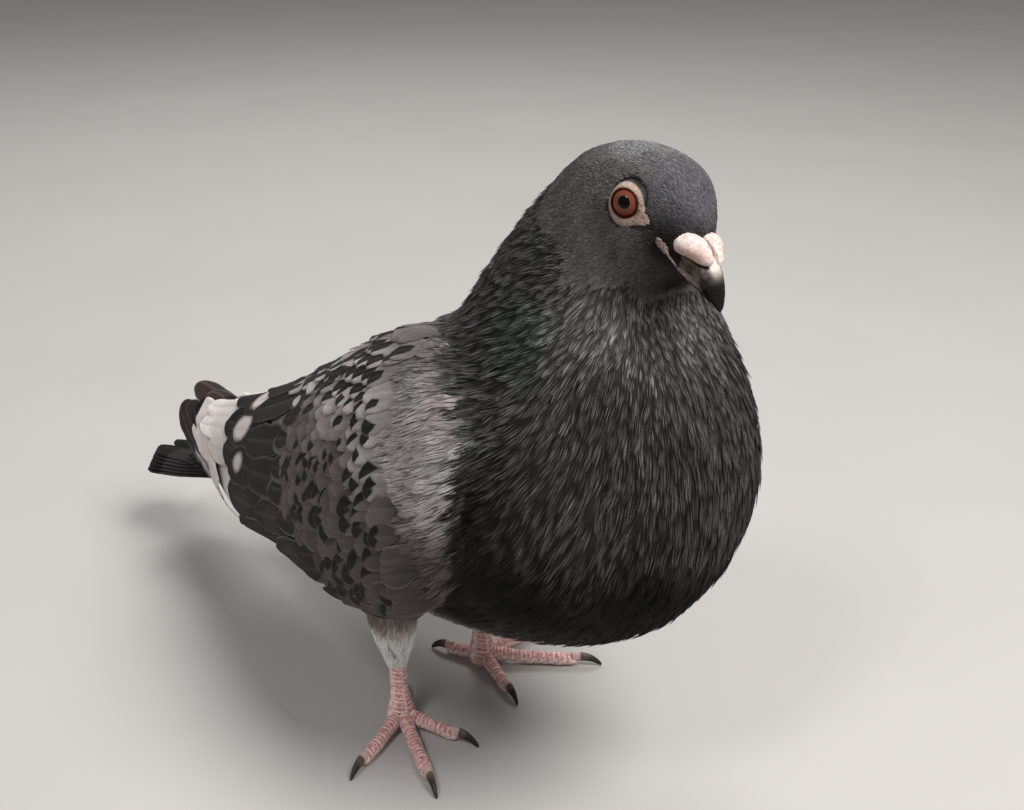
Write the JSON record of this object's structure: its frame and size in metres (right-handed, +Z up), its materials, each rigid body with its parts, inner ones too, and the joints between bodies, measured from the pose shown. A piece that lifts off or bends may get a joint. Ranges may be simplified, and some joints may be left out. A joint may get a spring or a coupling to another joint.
{
  "type": "pigeon",
  "caption": "Standing homing pigeon with its crop blown up, wings folded and head turned slightly to its right, as a still, life-size model.",
  "frame": {"origin": "on the floor, under the middle of the bird's box", "axes": "+X from the tail to the bill, +Y to the bird's left, +Z up"},
  "size_m": [0.2912, 0.1158, 0.2073],
  "materials": {
    "slate_feathers": "matt slate-grey feathers",
    "neck_feathers": "near-black hackles with a faint green and purple sheen",
    "wing_feathers": "matt lavender-grey feathers chequered with black",
    "black_feathers": "brown-black feathers with thin pale edges",
    "white_feathers": "silky greyish-white feathers",
    "wattle": "dry, powdery white skin",
    "eye_rim": "bare, finely pimpled cream skin",
    "eye": "wet gloss over an orange-brown iris and a black pupil",
    "horn": "dark horn with a dull polish",
    "scales": "maroon-pink scutes with whitish edges"
  },
  "bodies": {
    "root": {"bill_lower": "horn", "bill_upper": "horn", "claw_left_hind": "horn", "claw_left_inner": "horn", "claw_left_middle": "horn", "claw_left_outer": "horn", "claw_right_hind": "horn", "claw_right_inner": "horn", "claw_right_middle": "horn", "claw_right_outer": "horn", "crop": "neck_feathers", "eye_left": "eye", "eye_right": "eye", "eye_rim_left": "eye_rim", "eye_rim_right": "eye_rim", "head": "slate_feathers", "neck": "neck_feathers", "primary_left_1": "slate_feathers", "primary_left_2": "slate_feathers", "primary_left_3": "slate_feathers", "primary_left_4": "slate_feathers", "primary_right_1": "slate_feathers", "primary_right_2": "slate_feathers", "primary_right_3": "slate_feathers", "primary_right_4": "slate_feathers", "rump": "slate_feathers", "tail_left_1": "slate_feathers", "tail_left_2": "slate_feathers", "tail_left_3": "slate_feathers", "tail_left_4": "slate_feathers", "tail_left_5": "slate_feathers", "tail_left_6": "slate_feathers", "tail_right_1": "slate_feathers", "tail_right_2": "slate_feathers", "tail_right_3": "slate_feathers", "tail_right_4": "slate_feathers", "tail_right_5": "slate_feathers", "tail_right_6": "slate_feathers", "tarsus_left": "scales", "tarsus_right": "scales", "thigh_left": "white_feathers", "thigh_right": "white_feathers", "toe_left_hind": "scales", "toe_left_inner": "scales", "toe_left_middle": "scales", "toe_left_outer": "scales", "toe_right_hind": "scales", "toe_right_inner": "scales", "toe_right_middle": "scales", "toe_right_outer": "scales", "trunk": "slate_feathers", "wattle_left": "wattle", "wattle_right": "wattle", "wing_left_coverts": "wing_feathers", "wing_left_secondaries": "black_feathers", "wing_right_coverts": "wing_feathers", "wing_right_secondaries": "black_feathers"}
  },
  "joints": []
}
